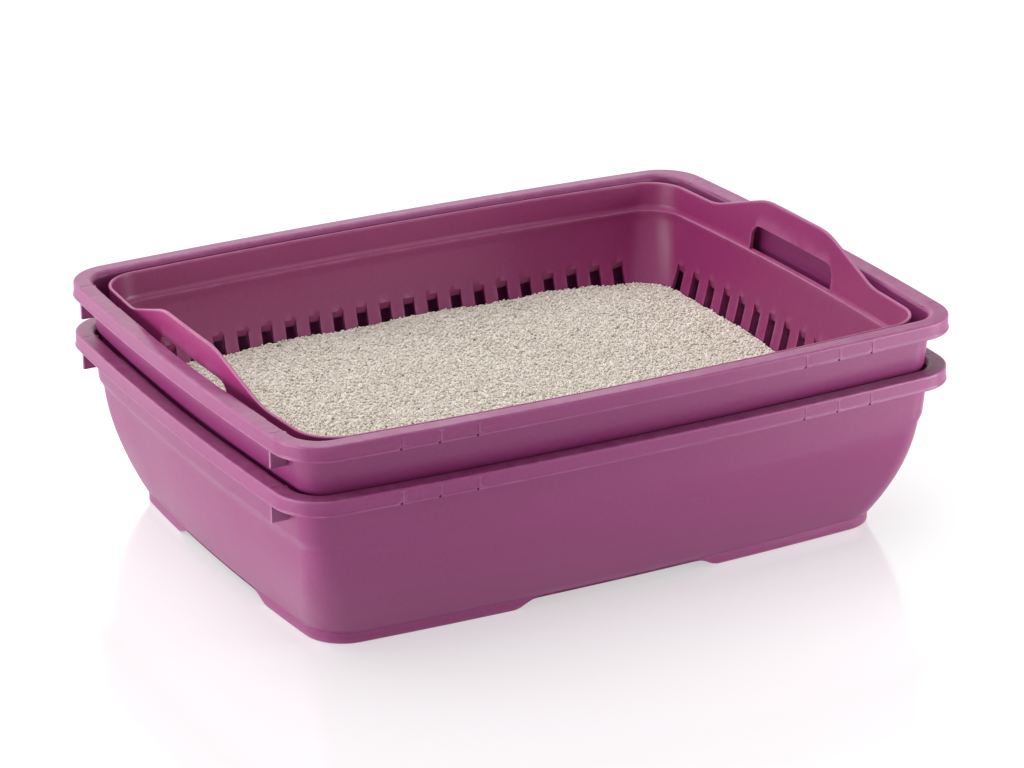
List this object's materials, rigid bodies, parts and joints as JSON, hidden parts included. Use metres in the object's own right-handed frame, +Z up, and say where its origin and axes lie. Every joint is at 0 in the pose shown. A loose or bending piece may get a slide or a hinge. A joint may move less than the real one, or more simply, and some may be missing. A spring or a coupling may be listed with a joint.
{
  "type": "sifting cat litter tray",
  "caption": "Open litter tray set: nesting pans with rolled rims, a lift-out slotted sifting tray with handles, and a bed of granular litter.",
  "frame": {"origin": "on the ground under the middle of the lower pan", "axes": "+X along the long sides, +Y across, +Z up out of the trays"},
  "size_m": [0.5008, 0.383, 0.172],
  "materials": {
    "pan_plastic": "satin",
    "tray_plastic": "satin",
    "litter": "granular"
  },
  "bodies": {
    "lower_pan": {"lower_pan": "pan_plastic"},
    "upper_pan": {"upper_pan": "pan_plastic"},
    "sifting_tray": {"sifting_tray": "tray_plastic", "litter_bed": "litter"}
  },
  "joints": [
    {"name": "upper_pan_lift", "type": "slide", "parent": "lower_pan", "child": "upper_pan", "axis": [0, 0, 1], "range_m": [0, 0.2]},
    {"name": "sifting_tray_lift", "type": "slide", "parent": "upper_pan", "child": "sifting_tray", "axis": [0, 0, 1], "range_m": [0, 0.2]}
  ]
}
